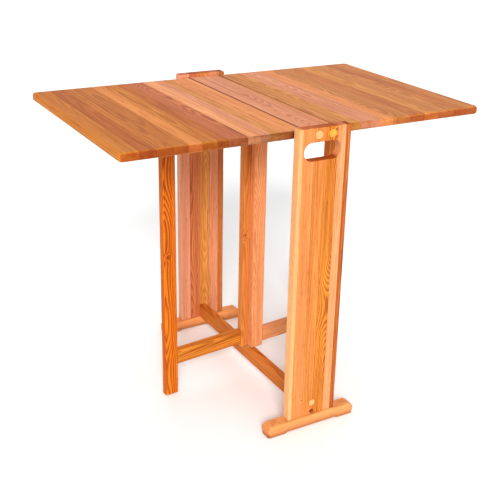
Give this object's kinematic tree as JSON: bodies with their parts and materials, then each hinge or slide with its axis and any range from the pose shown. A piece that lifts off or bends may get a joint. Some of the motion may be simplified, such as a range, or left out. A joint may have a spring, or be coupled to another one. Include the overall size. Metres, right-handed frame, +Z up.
{
  "type": "drop leaf table",
  "caption": "Wooden drop leaf table: slotted end panels on feet, a narrow fixed board, hinged leaves and a double gate on a central pivot, shown with its leaves up.",
  "frame": {"origin": "on the floor, midway between the end panels and under the middle of the fixed board", "axes": "+X along the opened top towards the right leaf, +Y along the hinge lines towards the back end panel, +Z up"},
  "size_m": [0.942, 0.639, 0.77],
  "materials": {
    "panel_wood": "satin oiled hardwood, glued staves",
    "leaf_wood": "satin oiled hardwood, glued staves",
    "board_wood": "satin oiled hardwood, glued staves",
    "foot_wood": "satin oiled hardwood",
    "stretcher_wood": "satin oiled hardwood",
    "gate_wood": "satin oiled hardwood",
    "plug_wood": "satin turned hardwood plugs",
    "peg_wood": "dark flush pegs",
    "dowel_wood": "raw hardwood dowels",
    "hinge_brass": "satin",
    "screw_steel": "zinc plated",
    "screw_brass": "satin"
  },
  "bodies": {
    "frame": {"front_end_panel": "panel_wood", "back_end_panel": "panel_wood", "front_foot": "foot_wood", "back_foot": "foot_wood", "stretcher": "stretcher_wood", "centre_board": "board_wood", "top_screws": "screw_steel", "top_plugs": "plug_wood", "stretcher_screws": "screw_steel", "stretcher_plugs": "plug_wood", "stretcher_pegs": "peg_wood", "foot_screws": "screw_steel", "lower_pivot_pin": "screw_steel", "upper_pivot_pin": "screw_steel", "pivot_washer": "screw_brass", "left_fixed_plates": "hinge_brass", "left_hinge_pins": "hinge_brass", "right_fixed_plates": "hinge_brass", "right_hinge_pins": "hinge_brass", "fixed_plate_screws": "screw_brass"},
    "left_leaf": {"left_leaf": "leaf_wood", "left_leaf_plates": "hinge_brass", "left_leaf_screws": "screw_brass", "left_leg_stop": "leaf_wood"},
    "right_leaf": {"right_leaf": "leaf_wood", "right_leaf_plates": "hinge_brass", "right_leaf_screws": "screw_brass", "right_leg_stop": "leaf_wood"},
    "gate": {"left_post": "gate_wood", "left_leg": "gate_wood", "left_low_rail": "gate_wood", "left_high_rail": "gate_wood", "right_post": "gate_wood", "right_leg": "gate_wood", "right_low_rail": "gate_wood", "right_high_rail": "gate_wood", "rail_dowels": "dowel_wood", "post_dowels": "dowel_wood"}
  },
  "joints": [
    {"name": "gate_swing", "type": "hinge", "parent": "frame", "child": "gate", "pos_m": [0, 0, 0.4], "axis": [0, 0, 1], "range_deg": [-5.5, 81.5]},
    {"name": "left_leaf_hinge", "type": "hinge", "parent": "frame", "child": "left_leaf", "pos_m": [-0.04325, 0, 0.7386], "axis": [0, 1, 0], "range_deg": [0, 2.5]},
    {"name": "right_leaf_hinge", "type": "hinge", "parent": "frame", "child": "right_leaf", "pos_m": [0.04325, 0, 0.7386], "axis": [0, -1, 0], "range_deg": [0, 2.5]}
  ]
}
